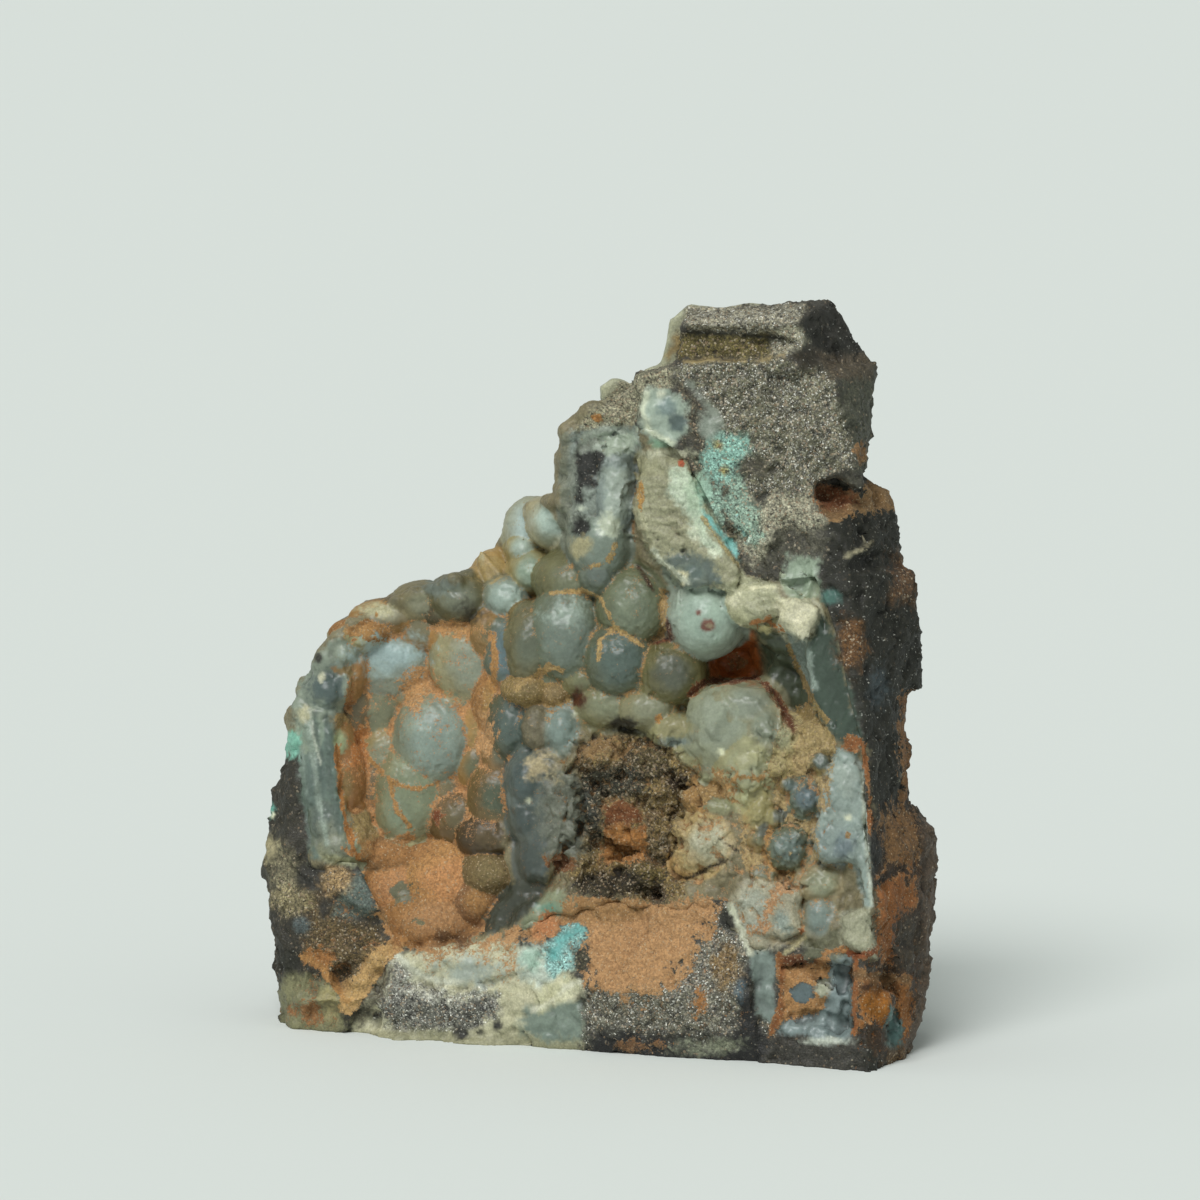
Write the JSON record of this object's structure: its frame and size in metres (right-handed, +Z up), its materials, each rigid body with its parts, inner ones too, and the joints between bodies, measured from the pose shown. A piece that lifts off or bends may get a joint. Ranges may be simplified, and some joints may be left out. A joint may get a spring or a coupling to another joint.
{
  "type": "shattuckite on matrix mineral specimen",
  "caption": "Free-standing mineral specimen: dark iron-rich matrix with a rounded chalcedony crust, a dusty hollow and a turquoise shattuckite seam.",
  "frame": {"origin": "on the flat base, under the middle of the specimen", "axes": "+Z up, +X to the right as seen from the front, +Y from the front to the back"},
  "size_m": [0.0406, 0.0261, 0.0447],
  "materials": {
    "matrix_rock": "rough, dark, with fine metallic glitter and rusty dust",
    "chalcedony": "waxy, translucent, dusted with orange clay",
    "rear_chalcedony": "waxy, translucent",
    "shattuckite_blue": "crumbly, matt"
  },
  "bodies": {
    "root": {"matrix": "matrix_rock", "chalcedony_crust": "chalcedony", "rear_crust": "rear_chalcedony", "shattuckite": "shattuckite_blue"}
  },
  "joints": []
}
